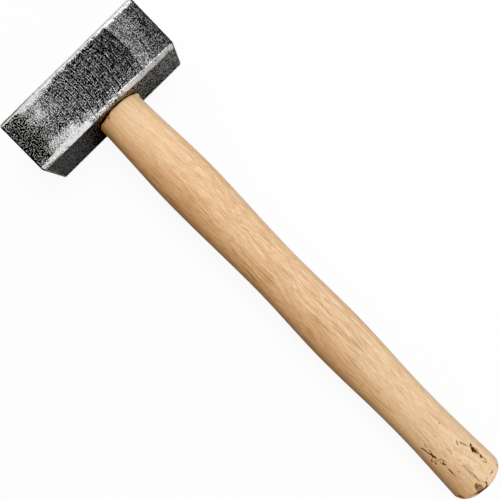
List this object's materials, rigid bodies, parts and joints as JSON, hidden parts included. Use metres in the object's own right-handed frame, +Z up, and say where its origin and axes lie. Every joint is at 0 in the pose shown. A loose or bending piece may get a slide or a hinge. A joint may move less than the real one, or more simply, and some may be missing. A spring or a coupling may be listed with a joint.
{
  "type": "stone hammer",
  "caption": "Square-section forged steel stone hammer head, wedged on a long shaped hardwood handle with a rounded butt, lying on its cheek.",
  "frame": {"origin": "centre of the flat cheek of the head that the hammer lies on", "axes": "+X along the handle from the head to the butt, +Y along the head from one striking face to the other, +Z up through the head from the lower cheek to the upper one"},
  "size_m": [0.3641, 0.106, 0.037],
  "materials": {
    "forged_steel": "dark forging scale, satin, with the edges ground bright",
    "handle_wood": "pale straight-grained hardwood, sanded, thin satin varnish",
    "wedge_wood": "hardwood wedge cut flush, unfinished",
    "wedge_steel": "plain rolled steel, barbed on both faces"
  },
  "bodies": {
    "root": {"hammer_head": "forged_steel", "handle": "handle_wood", "wooden_wedge": "wedge_wood", "steel_wedge_left": "wedge_steel", "steel_wedge_right": "wedge_steel"}
  },
  "joints": []
}
